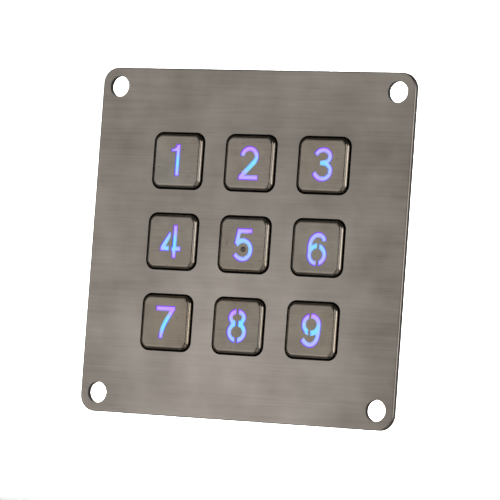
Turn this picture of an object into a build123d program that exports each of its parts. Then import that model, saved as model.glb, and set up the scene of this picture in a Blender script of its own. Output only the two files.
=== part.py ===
from build123d import *

import math
import os

# A stainless steel panel keypad: nine back-lit push keys in a square face plate.
#
# Frame: millimetres, +X to the reader's right, +Z up, the face looks along -Y.
# The origin is the centre of the four mounting holes, on the back face of the face plate.
# A depth is a distance along +Y from that back face, so anything in front of it is negative.

# Driving dimensions
PLATE_SIZE = 86.0
PLATE_THICKNESS = 1.5
PLATE_CORNER = 4.0
PLATE_EDGE = 0.4
MOUNT_SPACING = 76.5
MOUNT_HOLE_RADIUS = 2.6

KEY_PITCH = 20.0
KEY_OPENING = 14.2
KEY_OPENING_CORNER = 2.5
CAP_SIZE = 13.3
CAP_CORNER = 2.1
CAP_EDGE = 1.0
CAP_PROUD = 1.0
CAP_FACE_THICKNESS = 1.0
KEY_TRAVEL = 0.75

STACK_SIZE = 67.0
STACK_CORNER = 2.0
GUIDE_THICKNESS = 3.2
SHEET_THICKNESS = 1.0
BOARD_THICKNESS = 1.6
FILM_THICKNESS = 0.2
BACK_THICKNESS = 1.2

# Depths of the layers behind the face plate, front to back
SHEET_FRONT = GUIDE_THICKNESS
BOARD_FRONT = SHEET_FRONT + SHEET_THICKNESS
BOARD_BACK = BOARD_FRONT + BOARD_THICKNESS
BACK_FRONT = BOARD_BACK + FILM_THICKNESS
BACK_REAR = BACK_FRONT + BACK_THICKNESS

# Keys: a flange behind the plate stops each cap from coming out of its opening
FLANGE_SIZE = 16.2
FLANGE_CORNER = 3.0
FLANGE_FRONT = 0.05
FLANGE_REAR = 1.05
CAP_FACE = -(PLATE_THICKNESS + CAP_PROUD)
CAP_CAVITY_SIZE = 10.8
CAP_CAVITY_CORNER = 1.2
CAVITY_FRONT = CAP_FACE + CAP_FACE_THICKNESS
STROKE = 1.3
STROKE_CORNER = 0.28
STROKE_END = 0.62
GUIDE_FACE = CAP_FACE + 0.12
PIP_RADIUS = 0.65
PIP_HEIGHT = 0.35
PIP_EDGE = 0.3
PIP_CENTRE = (0.2, -1.2)

# Guide frame and keymat
POCKET_SIZE = 16.9
POCKET_CORNER = 3.35
DOME_FOOT_RADIUS = 6.4
DOME_FOOT_THICKNESS = 0.6
DOME_WEB_THICKNESS = 0.45
BOSS_RADIUS = 4.2
BOSS_BORE_RADIUS = 2.2
PILL_OUTER_RADIUS = 3.5
PILL_INNER_RADIUS = 2.4
PILL_THICKNESS = 0.4
PAD_THICKNESS = 0.05
PAD_GAP = 0.4
PRESSED_CLEARANCE = 0.02
PILL_REAR = BOARD_FRONT - PAD_THICKNESS - PRESSED_CLEARANCE - KEY_TRAVEL
BOSS_REAR = PILL_REAR - PILL_THICKNESS

# Studs, washers and nuts: M3
STUD_RADIUS = 1.5
STUD_LENGTH = 11.2
STUD_FOOT_RADIUS = 2.1
STUD_FOOT_THICKNESS = 0.6
STUD_CLEARANCE_RADIUS = 1.7
STUD_FOOT_CLEARANCE_RADIUS = 2.4
STUD_FOOT_CLEARANCE_DEPTH = 0.9
OUTER_STUD_SPACING = 60.0
INNER_STUD_SPACING = KEY_PITCH
WASHER_RADIUS = 3.2
WASHER_THICKNESS = 0.5
NUT_ACROSS_FLATS = 5.5
NUT_THICKNESS = 2.4
STUD_END_CHAMFER = 0.3

# Gasket between the face plate and the panel
GASKET_OUTER = 73.2
GASKET_INNER = 68.0
GASKET_OUTER_CORNER = 5.0
GASKET_INNER_CORNER = 3.0
GASKET_THICKNESS = 1.0

# Cable header: eight ways for three rows, three columns and the lighting pair
HEADER_WAYS = 8
HEADER_PITCH = 2.5
HEADER_WIDTH = 22.4
HEADER_DEPTH = 5.75
HEADER_HEIGHT = 7.0
HEADER_WALL = 0.8
HEADER_FLOOR = 1.6
HEADER_LATCH_WIDTH = 1.6
HEADER_LATCH_SPACING = 12.5
HEADER_Z = -28.4
PIN_SIZE = 0.64
PIN_HOLE_RADIUS = 0.5
PIN_FRONT = BOARD_FRONT - 0.8
PIN_REAR = BOARD_BACK + 5.4
TAIL_SLOT_LENGTH = 21.0
TAIL_SLOT_WIDTH = 2.0
TAIL_SLOT_CORNER = 0.9
NOTCH_WIDTH = 36.0
NOTCH_TOP = -24.0

LED_SIZE = (2.0, 1.25)
LED_HEIGHT = 0.8
RESISTOR_SIZE = (1.25, 2.0)
RESISTOR_HEIGHT = 0.5
RESISTOR_XS = (-16.0, -13.6, 13.6, 16.0)

KEY_NUMBERS = range(1, 10)
COLUMNS = 3


def at_depth(depth, x=0.0, z=0.0):
    """A sketch plane facing the reader, with its own x along +X and its own y along +Z."""
    return Plane(origin=(x, depth, z), x_dir=(1, 0, 0), z_dir=(0, -1, 0))


def key_centre(number):
    """Keys count from the top left, row by row."""
    row, column = divmod(number - 1, COLUMNS)
    return (column - 1) * KEY_PITCH, (1 - row) * KEY_PITCH


# Digits: strokes about the key's centre line, each cut with eased corners at its ends


def stroke_bar(x, y, width, height):
    with Locations((x, y)):
        RectangleRounded(width, height, STROKE_CORNER)


def stroke_path(path, free_ends=(0, 1)):
    """Widens a centre line to a stroke and adds the rounded stretch at each free end."""
    trace(path.line, line_width=STROKE)
    centre_line = path.wires()[0]
    for end in free_ends:
        direction = centre_line % end
        with Locations(centre_line @ end):
            RectangleRounded(
                STROKE_END,
                STROKE,
                STROKE_CORNER,
                rotation=math.degrees(math.atan2(direction.Y, direction.X)),
            )


def stroke_along(*points):
    with BuildLine() as path:
        Polyline(*points)
    stroke_path(path)


def stroke_curve(*points, tangents=(), free_ends=(0, 1)):
    with BuildLine() as path:
        Spline(*points, tangents=tangents)
    stroke_path(path, free_ends)


def stroke_arc(x, y, x_radius, y_radius, start, sweep, free_ends=()):
    """An elliptical stretch from the start angle, counterclockwise for a positive sweep."""
    with BuildLine() as path:
        EllipticalCenterArc((x, y), x_radius, y_radius, start_angle=start, arc_size=sweep)
    stroke_path(path, free_ends)


def stroke_ring(x, y, x_radius, y_radius):
    with Locations((x, y)):
        Ellipse(x_radius + STROKE / 2, y_radius + STROKE / 2)
        Ellipse(x_radius - STROKE / 2, y_radius - STROKE / 2, mode=Mode.SUBTRACT)


def bridge(x, y, width, height):
    """A strip of steel left across the strokes, which holds a counter in place."""
    with Locations((x, y)):
        Rectangle(width, height, mode=Mode.SUBTRACT)


def digit_1():
    stroke_bar(0.22, 0.1, STROKE, 8.0)
    with BuildLine() as flag:
        flag_tip = (-1.75, 2.95)
        neck = (-0.1, 4.1)
        ThreePointArc(flag_tip, (-0.65, 3.3), neck)
        Polyline(neck, (0.2, 4.1), (0.2, 2.15), (-1.75, 2.15), flag_tip)
    make_face(flag.edges())


def digit_2():
    with BuildLine() as path:
        bowl = CenterArc((0.1, 1.5), 2.0, 168, -168)
        Spline(bowl @ 1, (1.3, 0.0), (0.0, -1.4), (-1.9, -3.3), tangents=[(0, -1), (-1, -1)])
    stroke_path(path)
    stroke_bar(0.05, -3.65, 5.5, STROKE)


def digit_3():
    stroke_arc(0.1, 2.1, 1.9, 1.6, 160, -250, free_ends=(0,))
    stroke_bar(0.0, 0.5, 1.3, STROKE * 0.9)
    stroke_arc(0.15, -1.45, 2.1, 1.95, 90, -180)
    stroke_arc(0.15, -1.45, 2.25, 1.95, -90, -72, free_ends=(1,))


def digit_4():
    stroke_bar(1.06, -0.05, STROKE, 8.3)
    stroke_bar(1.52, -1.85, 2.8, STROKE)
    with BuildLine() as wedge:
        FilletPolyline(
            (-0.7, 2.3),
            (-0.05, 2.3),
            (-0.05, 1.05),
            (-1.25, -1.15),
            (-0.35, -1.15),
            (-0.35, -2.5),
            (-2.95, -2.5),
            (-2.95, -1.3),
            radius=STROKE_CORNER / 2,
            close=True,
        )
    make_face(wedge.edges())


def digit_5():
    stroke_along((2.15, 3.3), (-1.25, 3.3), (-1.75, 0.25))
    stroke_arc(0.2, -1.35, 2.25, 2.3, 146, -56, free_ends=(0,))
    stroke_arc(0.2, -1.35, 2.05, 2.3, 90, -180)
    stroke_arc(0.2, -1.35, 2.6, 2.3, -90, -57, free_ends=(1,))


def digit_6():
    stroke_curve(
        (2.0, 1.85),
        (1.4, 2.8),
        (0.3, 3.12),
        (-1.2, 2.25),
        (-1.83, 0.3),
        (-1.72, -1.7),
        free_ends=(0,),
    )
    stroke_ring(0.2, -1.75, 2.05, 2.15)
    bridge(0.42, -1.75, 0.5, 6.2)


def digit_7():
    stroke_bar(-0.05, 3.4, 5.5, STROKE)
    stroke_curve((1.95, 3.15), (1.4, 2.1), (0.5, 0.6), (-0.25, -0.9), (-0.75, -2.5), (-0.98, -3.8))


def digit_8():
    stroke_ring(-0.05, 2.1, 1.85, 1.5)
    stroke_ring(0.0, -1.45, 2.1, 2.05)
    bridge(-0.08, 0.0, 0.42, 9.0)


def digit_9():
    stroke_ring(0.1, 1.4, 2.05, 2.1)
    stroke_curve(
        (2.15, 1.4),
        (2.1, -0.6),
        (1.6, -2.6),
        (0.35, -3.55),
        (-1.1, -3.25),
        (-1.95, -2.4),
        tangents=[(0, -1), (-0.6, 1)],
        free_ends=(1,),
    )
    bridge(-0.28, 1.75, 0.45, 6.2)


DIGITS = (digit_1, digit_2, digit_3, digit_4, digit_5, digit_6, digit_7, digit_8, digit_9)


def ring(outer_radius, inner_radius):
    Circle(outer_radius)
    Circle(inner_radius, mode=Mode.SUBTRACT)


def stud_places():
    """The eight weld studs: four at the stack's corners and four between the keys."""
    with GridLocations(OUTER_STUD_SPACING, OUTER_STUD_SPACING, 2, 2) as outer:
        places = list(outer.locations)
    with GridLocations(INNER_STUD_SPACING, INNER_STUD_SPACING, 2, 2) as inner:
        places += list(inner.locations)
    return places


def stack_sheet_outline():
    """The shared outline of every layer behind the face plate."""
    RectangleRounded(STACK_SIZE, STACK_SIZE, STACK_CORNER)


def finish_part(part, label):
    part.label = label
    export_step(part, f"parts/{label}.step")


os.makedirs("parts", exist_ok=True)


# Face plate: laser-cut sheet with its front edge eased
with BuildPart() as front_plate:
    with BuildSketch(at_depth(0.0)):
        RectangleRounded(PLATE_SIZE, PLATE_SIZE, PLATE_CORNER)
    extrude(amount=PLATE_THICKNESS)
    plate_front_face = front_plate.faces().sort_by(Axis.Y)[0]
    fillet(plate_front_face.edges(), PLATE_EDGE)
    with BuildSketch(at_depth(0.0)):
        with GridLocations(MOUNT_SPACING, MOUNT_SPACING, 2, 2):
            Circle(MOUNT_HOLE_RADIUS)
        with GridLocations(KEY_PITCH, KEY_PITCH, COLUMNS, COLUMNS):
            RectangleRounded(KEY_OPENING, KEY_OPENING, KEY_OPENING_CORNER)
    extrude(amount=PLATE_THICKNESS, mode=Mode.SUBTRACT)
finish_part(front_plate.part, "front_plate")


# Weld studs: each has the small foot that the weld leaves
with BuildPart() as weld_studs:
    with BuildSketch(at_depth(0.0)):
        with Locations(*stud_places()):
            Circle(STUD_FOOT_RADIUS)
    extrude(amount=-STUD_FOOT_THICKNESS)
    with BuildSketch(at_depth(0.0)):
        with Locations(*stud_places()):
            Circle(STUD_RADIUS)
    extrude(amount=-STUD_LENGTH)
    stud_ends = weld_studs.faces().sort_by(Axis.Y).group_by(Axis.Y)[-1]
    chamfer(stud_ends.edges(), STUD_END_CHAMFER)
finish_part(weld_studs.part, "weld_studs")


# Sealing gasket: a closed rubber ring around the stack
with BuildPart() as sealing_gasket:
    with BuildSketch(at_depth(0.0)):
        RectangleRounded(GASKET_OUTER, GASKET_OUTER, GASKET_OUTER_CORNER)
        RectangleRounded(GASKET_INNER, GASKET_INNER, GASKET_INNER_CORNER, mode=Mode.SUBTRACT)
    extrude(amount=-GASKET_THICKNESS)
finish_part(sealing_gasket.part, "sealing_gasket")


# Key guide frame: a moulded grid whose pockets keep each key's flange square
with BuildPart() as key_guide_frame:
    with BuildSketch(at_depth(0.0)):
        stack_sheet_outline()
        with GridLocations(KEY_PITCH, KEY_PITCH, COLUMNS, COLUMNS):
            RectangleRounded(POCKET_SIZE, POCKET_SIZE, POCKET_CORNER, mode=Mode.SUBTRACT)
        with Locations(*stud_places()):
            Circle(STUD_CLEARANCE_RADIUS, mode=Mode.SUBTRACT)
    extrude(amount=-GUIDE_THICKNESS)
    with BuildSketch(at_depth(0.0)):
        with Locations(*stud_places()):
            Circle(STUD_FOOT_CLEARANCE_RADIUS)
    extrude(amount=-STUD_FOOT_CLEARANCE_DEPTH, mode=Mode.SUBTRACT)
finish_part(key_guide_frame.part, "key_guide_frame")


# Keymat sheet: the flat web of the silicone moulding, open under each dome
with BuildPart() as keymat_sheet:
    with BuildSketch(at_depth(SHEET_FRONT)):
        stack_sheet_outline()
        with GridLocations(KEY_PITCH, KEY_PITCH, COLUMNS, COLUMNS):
            Circle(DOME_FOOT_RADIUS, mode=Mode.SUBTRACT)
        with Locations(*stud_places()):
            Circle(STUD_CLEARANCE_RADIUS, mode=Mode.SUBTRACT)
        with Locations((0, HEADER_Z)):
            RectangleRounded(TAIL_SLOT_LENGTH, TAIL_SLOT_WIDTH, TAIL_SLOT_CORNER, mode=Mode.SUBTRACT)
    extrude(amount=-SHEET_THICKNESS)
finish_part(keymat_sheet.part, "keymat_sheet")


# Circuit board
with BuildPart() as circuit_board:
    with BuildSketch(at_depth(BOARD_FRONT)):
        stack_sheet_outline()
        with Locations(*stud_places()):
            Circle(STUD_CLEARANCE_RADIUS, mode=Mode.SUBTRACT)
        with Locations((0, HEADER_Z)):
            with GridLocations(HEADER_PITCH, HEADER_PITCH, HEADER_WAYS, 1):
                Circle(PIN_HOLE_RADIUS, mode=Mode.SUBTRACT)
    extrude(amount=-BOARD_THICKNESS)
finish_part(circuit_board.part, "circuit_board")


# Contact pads: two half rings under each key, which its pill bridges
with BuildPart() as contact_pads:
    with BuildSketch(at_depth(BOARD_FRONT)):
        with GridLocations(KEY_PITCH, KEY_PITCH, COLUMNS, COLUMNS):
            ring(PILL_OUTER_RADIUS, PILL_INNER_RADIUS)
            Rectangle(PAD_GAP, 2 * PILL_OUTER_RADIUS + 1, mode=Mode.SUBTRACT)
    extrude(amount=PAD_THICKNESS)
finish_part(contact_pads.part, "contact_pads")


# Key lights: one on the board's front behind the centre of each key
with BuildPart() as key_leds:
    with BuildSketch(at_depth(BOARD_FRONT)):
        with GridLocations(KEY_PITCH, KEY_PITCH, COLUMNS, COLUMNS):
            Rectangle(*LED_SIZE)
    extrude(amount=LED_HEIGHT)
finish_part(key_leds.part, "key_leds")


# Series resistors on the board's rear, beside the cable header
with BuildPart() as resistors:
    with BuildSketch(at_depth(BOARD_BACK)):
        with Locations(*[(x, HEADER_Z) for x in RESISTOR_XS]):
            Rectangle(*RESISTOR_SIZE)
    extrude(amount=-RESISTOR_HEIGHT)
finish_part(resistors.part, "resistors")


# Cable header: an open box, with two slots in its upper wall for the plug's ribs
with BuildPart() as cable_header:
    with BuildSketch(at_depth(BOARD_BACK, z=HEADER_Z)):
        Rectangle(HEADER_WIDTH, HEADER_DEPTH)
    extrude(amount=-HEADER_HEIGHT)
    with BuildSketch(at_depth(BOARD_BACK + HEADER_FLOOR, z=HEADER_Z)):
        Rectangle(HEADER_WIDTH - 2 * HEADER_WALL, HEADER_DEPTH - 2 * HEADER_WALL)
        with Locations((0, HEADER_DEPTH / 2)):
            with GridLocations(HEADER_LATCH_SPACING, HEADER_DEPTH, 2, 1):
                Rectangle(HEADER_LATCH_WIDTH, HEADER_DEPTH / 2)
    extrude(amount=HEADER_FLOOR - HEADER_HEIGHT, mode=Mode.SUBTRACT)
    with BuildSketch(at_depth(BOARD_BACK, z=HEADER_Z)):
        with GridLocations(HEADER_PITCH, HEADER_PITCH, HEADER_WAYS, 1):
            Rectangle(PIN_SIZE, PIN_SIZE)
    extrude(amount=-HEADER_FLOOR, mode=Mode.SUBTRACT)
finish_part(cable_header.part, "cable_header")


# Header pins: square posts through the header's floor and the board
with BuildPart() as header_pins:
    with BuildSketch(at_depth(PIN_FRONT, z=HEADER_Z)):
        with GridLocations(HEADER_PITCH, HEADER_PITCH, HEADER_WAYS, 1):
            Rectangle(PIN_SIZE, PIN_SIZE)
    extrude(amount=PIN_FRONT - PIN_REAR)
finish_part(header_pins.part, "header_pins")


def notched_sheet_outline():
    """The stack's outline with a notch in its lower edge around the cable header."""
    stack_sheet_outline()
    notch_height = STACK_SIZE / 2 + NOTCH_TOP
    with Locations((0, NOTCH_TOP - notch_height / 2)):
        Rectangle(NOTCH_WIDTH, notch_height, mode=Mode.SUBTRACT)
    with Locations(*stud_places()):
        Circle(STUD_CLEARANCE_RADIUS, mode=Mode.SUBTRACT)


# Insulating film between the board and the back plate
with BuildPart() as insulating_film:
    with BuildSketch(at_depth(BOARD_BACK)):
        notched_sheet_outline()
    extrude(amount=-FILM_THICKNESS)
finish_part(insulating_film.part, "insulating_film")


# Back plate: the steel sheet that the nuts clamp against the stack
with BuildPart() as back_plate:
    with BuildSketch(at_depth(BACK_FRONT)):
        notched_sheet_outline()
    extrude(amount=-BACK_THICKNESS)
finish_part(back_plate.part, "back_plate")


# Washers and nuts on the eight studs
with BuildPart() as stud_washers:
    with BuildSketch(at_depth(BACK_REAR)):
        with Locations(*stud_places()):
            ring(WASHER_RADIUS, STUD_CLEARANCE_RADIUS)
    extrude(amount=-WASHER_THICKNESS)
finish_part(stud_washers.part, "stud_washers")

with BuildPart() as stud_nuts:
    with BuildSketch(at_depth(BACK_REAR + WASHER_THICKNESS)):
        with Locations(*stud_places()):
            RegularPolygon(NUT_ACROSS_FLATS / 2, 6, major_radius=False)
            Circle(STUD_RADIUS, mode=Mode.SUBTRACT)
    extrude(amount=-NUT_THICKNESS)
finish_part(stud_nuts.part, "stud_nuts")


# The nine keys: cap, light guide, dome and pill
for number in KEY_NUMBERS:
    x, z = key_centre(number)
    key_name = f"key_{number}"

    with BuildPart() as cap:
        with BuildSketch(at_depth(FLANGE_REAR, x, z)):
            RectangleRounded(FLANGE_SIZE, FLANGE_SIZE, FLANGE_CORNER)
        extrude(amount=FLANGE_REAR - FLANGE_FRONT)
        with BuildSketch(at_depth(FLANGE_FRONT, x, z)):
            RectangleRounded(CAP_SIZE, CAP_SIZE, CAP_CORNER)
        extrude(amount=FLANGE_FRONT - CAP_FACE)
        cap_front_face = cap.faces().sort_by(Axis.Y)[0]
        fillet(cap_front_face.edges(), CAP_EDGE)
        with BuildSketch(at_depth(FLANGE_REAR, x, z)):
            RectangleRounded(CAP_CAVITY_SIZE, CAP_CAVITY_SIZE, CAP_CAVITY_CORNER)
        extrude(amount=FLANGE_REAR - CAVITY_FRONT, mode=Mode.SUBTRACT)
        with BuildSketch(at_depth(CAVITY_FRONT, x, z)):
            DIGITS[number - 1]()
        extrude(amount=CAP_FACE_THICKNESS, mode=Mode.SUBTRACT)
        if number == 5:
            with BuildSketch(at_depth(CAP_FACE, x + PIP_CENTRE[0], z + PIP_CENTRE[1])):
                Circle(PIP_RADIUS)
            extrude(amount=PIP_HEIGHT)
            pip_top = cap.faces().sort_by(Axis.Y)[0]
            fillet(pip_top.edges(), PIP_EDGE)
    finish_part(cap.part, f"{key_name}_cap")

    # Clear resin cast into the cap, with the digit standing up into the cut strokes
    with BuildPart() as light_guide:
        with BuildSketch(at_depth(FLANGE_REAR, x, z)):
            RectangleRounded(CAP_CAVITY_SIZE, CAP_CAVITY_SIZE, CAP_CAVITY_CORNER)
        extrude(amount=FLANGE_REAR - CAVITY_FRONT)
        with BuildSketch(at_depth(CAVITY_FRONT, x, z)):
            DIGITS[number - 1]()
        extrude(amount=CAVITY_FRONT - GUIDE_FACE)
    finish_part(light_guide.part, f"{key_name}_light_guide")

    # Silicone dome: foot in the keymat's opening, sloping web, and the boss under the key
    with BuildPart() as dome:
        with BuildSketch(Plane(origin=(x, 0, z), x_dir=(1, 0, 0), z_dir=(0, 0, 1))):
            with BuildLine() as profile:
                Polyline(
                    (BOSS_BORE_RADIUS, FLANGE_REAR),
                    (BOSS_RADIUS, FLANGE_REAR),
                    (BOSS_RADIUS, BOSS_REAR - DOME_WEB_THICKNESS),
                    (DOME_FOOT_RADIUS - DOME_FOOT_THICKNESS, SHEET_FRONT),
                    (DOME_FOOT_RADIUS, SHEET_FRONT),
                    (DOME_FOOT_RADIUS, BOARD_FRONT),
                    (DOME_FOOT_RADIUS - DOME_FOOT_THICKNESS, BOARD_FRONT),
                    (DOME_FOOT_RADIUS - DOME_FOOT_THICKNESS, SHEET_FRONT + DOME_WEB_THICKNESS),
                    (BOSS_RADIUS, BOSS_REAR),
                    (BOSS_BORE_RADIUS, BOSS_REAR),
                    (BOSS_BORE_RADIUS, FLANGE_REAR),
                )
            make_face()
        revolve(axis=Axis((x, 0, z), (0, 1, 0)))
    finish_part(dome.part, f"{key_name}_dome")

    with BuildPart() as pill:
        with BuildSketch(at_depth(PILL_REAR, x, z)):
            ring(PILL_OUTER_RADIUS, PILL_INNER_RADIUS)
        extrude(amount=PILL_THICKNESS)
    finish_part(pill.part, f"{key_name}_pill")
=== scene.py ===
import math

import bmesh
import bpy
from mathutils import Matrix, Vector


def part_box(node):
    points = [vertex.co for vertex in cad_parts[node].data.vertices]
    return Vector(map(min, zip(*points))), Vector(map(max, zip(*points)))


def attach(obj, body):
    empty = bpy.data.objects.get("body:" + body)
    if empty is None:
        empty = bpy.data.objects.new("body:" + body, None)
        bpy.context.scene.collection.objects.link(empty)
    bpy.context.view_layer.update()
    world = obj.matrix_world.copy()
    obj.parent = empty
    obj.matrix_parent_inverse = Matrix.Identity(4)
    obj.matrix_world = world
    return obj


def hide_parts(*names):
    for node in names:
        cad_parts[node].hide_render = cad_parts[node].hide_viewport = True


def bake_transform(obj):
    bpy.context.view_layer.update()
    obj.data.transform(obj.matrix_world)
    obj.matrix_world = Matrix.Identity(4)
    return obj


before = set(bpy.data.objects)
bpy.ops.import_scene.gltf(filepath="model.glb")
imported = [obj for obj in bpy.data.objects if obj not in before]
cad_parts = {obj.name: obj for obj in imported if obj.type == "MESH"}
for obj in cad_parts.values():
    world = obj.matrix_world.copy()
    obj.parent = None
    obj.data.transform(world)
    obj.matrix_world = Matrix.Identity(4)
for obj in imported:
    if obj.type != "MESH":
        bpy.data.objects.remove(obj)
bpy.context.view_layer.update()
MM = 0.001


# Camera
# A long lens from the right of the keypad and a little below it, held with a slight tilt.
# Its place is measured from the middle of the face plate's front.
LENS_LENGTH = 245.2
PLATE_FRONT_CENTRE = Vector((0.0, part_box("front_plate")[0].y, 0.0))
camera_place = PLATE_FRONT_CENTRE + Vector((382.9, -735.9, -45.9)) * MM
camera_right = Vector((0.8874, 0.4554, 0.0721)).normalized()
camera_back = Vector((0.4594, -0.8866, -0.0538)).normalized()
camera_up = camera_back.cross(camera_right)

camera_data = bpy.data.cameras.new("studio_camera")
camera_data.lens = LENS_LENGTH
camera_data.sensor_width = 36.0
camera_data.clip_start = 0.01
camera_data.clip_end = 50.0
camera = bpy.data.objects.new("studio_camera", camera_data)
bpy.context.scene.collection.objects.link(camera)
turn = Matrix((camera_right, camera_up, camera_back)).transposed().to_4x4()
camera.matrix_world = Matrix.Translation(camera_place) @ turn
bpy.context.scene.camera = camera


# Face plate
# A square of 1.5 mm stainless sheet, brushed from side to side and then laser cut, so its
# faces carry a long horizontal grain and its cut walls are dark, rough and finely ribbed.
GRAIN_LENGTH = 26.0 * MM
GRAIN_WIDTH = 0.20 * MM
GRAIN_DEPTH = 20 * MM
PLATE_EASE = 0.07 * MM
# Painted light on the face: a painted sheen lightens it round this patch and fades out at the
# reach; painted shade dulls it towards the right, from the start to the end across.
PAINTED_SHEEN_CENTRE = (1 * MM, 0.0, -33 * MM)
PAINTED_SHEEN_REACH = 58 * MM
PAINTED_SHADE_START = 12 * MM
PAINTED_SHADE_END = 43 * MM
PAINTED_SHADE_DEPTH = 0.3
RIB_WIDTH = 0.15 * MM
RIB_LENGTH = 4 * MM
WELD_DISTANCE = 0.001 * MM
FLAT_ANGLE = math.radians(0.4)
CREASE_ANGLE = math.radians(30)
EASED_ANGLE = math.radians(40)
WALL_TILT = 0.35


def linear(hex_colour):
    """The linear colour that a socket takes, from an sRGB hex value."""
    channels = [int(hex_colour[i : i + 2], 16) / 255 for i in (1, 3, 5)]
    values = [c / 12.92 if c <= 0.04045 else ((c + 0.055) / 1.055) ** 2.4 for c in channels]
    return (*values, 1.0)


def add(tree, kind, inputs=None, **settings):
    """Adds a node with its settings, and sets or links each of its inputs."""
    node = tree.nodes.new(kind)
    for setting, value in settings.items():
        setattr(node, setting, value)
    for socket, value in (inputs or {}).items():
        if isinstance(value, bpy.types.NodeSocket):
            tree.links.new(value, node.inputs[socket])
        else:
            node.inputs[socket].default_value = value
    return node


def new_material(name, **fixed):
    """A material whose shader has its fixed values set, and the tree that finishes it."""
    material = bpy.data.materials.new(name)
    material.use_nodes = True
    shader = material.node_tree.nodes["Principled BSDF"]
    for socket, value in fixed.items():
        shader.inputs[socket.replace("_", " ")].default_value = value
    return material, material.node_tree, shader


def two_tone(tree, factor, dark, light, low=0.3, high=0.7):
    """A colour that runs from dark to light as the factor runs from low to high."""
    ramp = add(tree, "ShaderNodeValToRGB", {"Fac": factor})
    ramp.color_ramp.elements[0].position = low
    ramp.color_ramp.elements[0].color = linear(dark)
    ramp.color_ramp.elements[1].position = high
    ramp.color_ramp.elements[1].color = linear(light)
    return ramp.outputs["Color"]


def grain(tree, length, width, detail=2.0):
    """Noise drawn out along X: the scratches that an abrasive belt leaves."""
    place = add(tree, "ShaderNodeTexCoord").outputs["Object"]
    stretched = add(
        tree,
        "ShaderNodeMapping",
        {"Vector": place, "Scale": (1 / length, 1 / GRAIN_DEPTH, 1 / width)},
    )
    noise = add(
        tree,
        "ShaderNodeTexNoise",
        {"Vector": stretched.outputs["Vector"], "Scale": 1.0, "Detail": detail, "Roughness": 0.65},
    )
    return noise.outputs["Fac"]


def blotches(tree, size, detail=3.0):
    """Soft even noise whose blotches are the given distance across."""
    place = add(tree, "ShaderNodeTexCoord").outputs["Object"]
    noise = add(
        tree,
        "ShaderNodeTexNoise",
        {"Vector": place, "Scale": 1 / size, "Detail": detail, "Roughness": 0.55},
    )
    return noise.outputs["Fac"]


def spread(tree, factor, low, high):
    """The factor's middle half stretched to run from low to high."""
    ranged = add(
        tree,
        "ShaderNodeMapRange",
        {"Value": factor, "From Min": 0.25, "From Max": 0.75, "To Min": low, "To Max": high},
    )
    return ranged.outputs["Result"]


def wire(tree, shader, **links):
    """Links each output to the shader's socket of that name."""
    for socket, output in links.items():
        tree.links.new(output, shader.inputs[socket.replace("_", " ")])


def brushed_stainless():
    """Belt-brushed stainless: warm grey, with a painted sheen lighter round a patch near the bottom
    middle and painted shade darker towards the right.
    """
    material, tree, shader = new_material("brushed_stainless_sheet", Metallic=1.0, Anisotropic=0.6)
    fine = grain(tree, GRAIN_LENGTH, GRAIN_WIDTH)
    broad = grain(tree, GRAIN_LENGTH, 7 * GRAIN_WIDTH)
    cloud = blotches(tree, 16 * MM)
    strands = add(tree, "ShaderNodeMix", {"Factor": 0.5, "A": fine, "B": broad}).outputs["Result"]
    tone = add(tree, "ShaderNodeMix", {"Factor": 0.55, "A": strands, "B": cloud}).outputs["Result"]
    place = add(tree, "ShaderNodeTexCoord").outputs["Object"]
    # Painted sheen round the patch, less painted shade towards the right, sets how light the face
    # is.
    from_sheen_centre = add(
        tree, "ShaderNodeVectorMath", {0: place, 1: PAINTED_SHEEN_CENTRE}, operation="DISTANCE"
    )
    painted_sheen = add(
        tree,
        "ShaderNodeMapRange",
        {"Value": from_sheen_centre.outputs["Value"], "From Min": PAINTED_SHEEN_REACH, "From Max": 0},
    )
    across = add(tree, "ShaderNodeSeparateXYZ", {"Vector": place}).outputs["X"]
    painted_shade = add(
        tree,
        "ShaderNodeMapRange",
        {
            "Value": across,
            "From Min": PAINTED_SHADE_START,
            "From Max": PAINTED_SHADE_END,
            "To Max": PAINTED_SHADE_DEPTH,
        },
    )
    sheen_less_shade = add(
        tree,
        "ShaderNodeMath",
        {0: painted_sheen.outputs["Result"], 1: painted_shade.outputs["Result"]},
        operation="SUBTRACT",
        use_clamp=True,
    )
    colour = add(
        tree,
        "ShaderNodeMix",
        {
            "Factor": sheen_less_shade.outputs[0],
            "A": two_tone(tree, tone, "#908880", "#b6aea4", 0.35, 0.65),
            "B": two_tone(tree, tone, "#bbb1a7", "#ddd3c9", 0.35, 0.65),
        },
        data_type="RGBA",
    )
    bump = add(
        tree, "ShaderNodeBump", {"Height": strands, "Strength": 0.25, "Distance": 0.012 * MM}
    )
    tangent = add(tree, "ShaderNodeTangent", direction_type="UV_MAP", uv_map="grain")
    wire(
        tree,
        shader,
        Base_Color=colour.outputs[2],
        Roughness=spread(tree, strands, 0.25, 0.36),
        Normal=bump.outputs["Normal"],
        Tangent=tangent.outputs["Tangent"],
    )
    return material


def cut_edge():
    """Laser-cut stainless: oxide-dark, dull, with ribs through the sheet's thickness."""
    material, tree, shader = new_material("laser_cut_edge", Metallic=1.0)
    place = add(tree, "ShaderNodeTexCoord").outputs["Object"]
    stretched = add(
        tree,
        "ShaderNodeMapping",
        {"Vector": place, "Scale": (1 / RIB_WIDTH, 1 / RIB_LENGTH, 1 / RIB_WIDTH)},
    )
    ribs = add(
        tree,
        "ShaderNodeTexNoise",
        {"Vector": stretched.outputs["Vector"], "Scale": 1.0, "Detail": 2.0},
    ).outputs["Fac"]
    bump = add(tree, "ShaderNodeBump", {"Height": ribs, "Strength": 0.5, "Distance": 0.03 * MM})
    wire(
        tree,
        shader,
        Base_Color=two_tone(tree, ribs, "#28231e", "#403a33"),
        Roughness=spread(tree, ribs, 0.42, 0.6),
        Normal=bump.outputs["Normal"],
    )
    return material


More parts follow.
